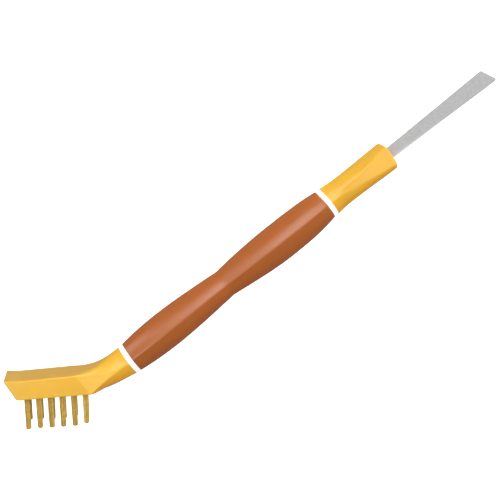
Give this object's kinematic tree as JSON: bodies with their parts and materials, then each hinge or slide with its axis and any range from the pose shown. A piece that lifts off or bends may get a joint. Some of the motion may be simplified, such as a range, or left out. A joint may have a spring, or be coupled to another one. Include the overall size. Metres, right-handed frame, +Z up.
{
  "type": "crevice brush",
  "caption": "Double-ended cleaning tool: brass bristle tufts in an angled amber head, a waisted brown grip, and a flared steel scraper blade in an amber holder",
  "frame": {"origin": "centre of the bounding box on X and Y, at the table on which the tool lies on its side", "axes": "+X along the grip from the brush head to the scraper, +Y to the back of the brush head, +Z up from the table; the tufts point to -Y and -X"},
  "size_m": [0.2108, 0.0304, 0.015],
  "materials": {
    "amber_plastic": "smooth gloss, moulded",
    "white_plastic": "smooth, moulded",
    "brown_plastic": "fine satin, moulded",
    "brass_wire": "bright drawn wire",
    "anchor_steel": "flat wire",
    "blade_steel": "fine matt, blasted, with ground bevels"
  },
  "bodies": {
    "root": {"brush_head": "amber_plastic", "tuft_near_1": "brass_wire", "tuft_near_2": "brass_wire", "tuft_near_3": "brass_wire", "tuft_near_4": "brass_wire", "tuft_near_5": "brass_wire", "tuft_near_6": "brass_wire", "tuft_far_1": "brass_wire", "tuft_far_2": "brass_wire", "tuft_far_3": "brass_wire", "tuft_far_4": "brass_wire", "tuft_far_5": "brass_wire", "tuft_far_6": "brass_wire", "tuft_anchors": "anchor_steel", "head_collar": "white_plastic", "grip": "brown_plastic", "blade_collar": "white_plastic", "blade_holder": "amber_plastic", "scraper_blade": "blade_steel"}
  },
  "joints": []
}
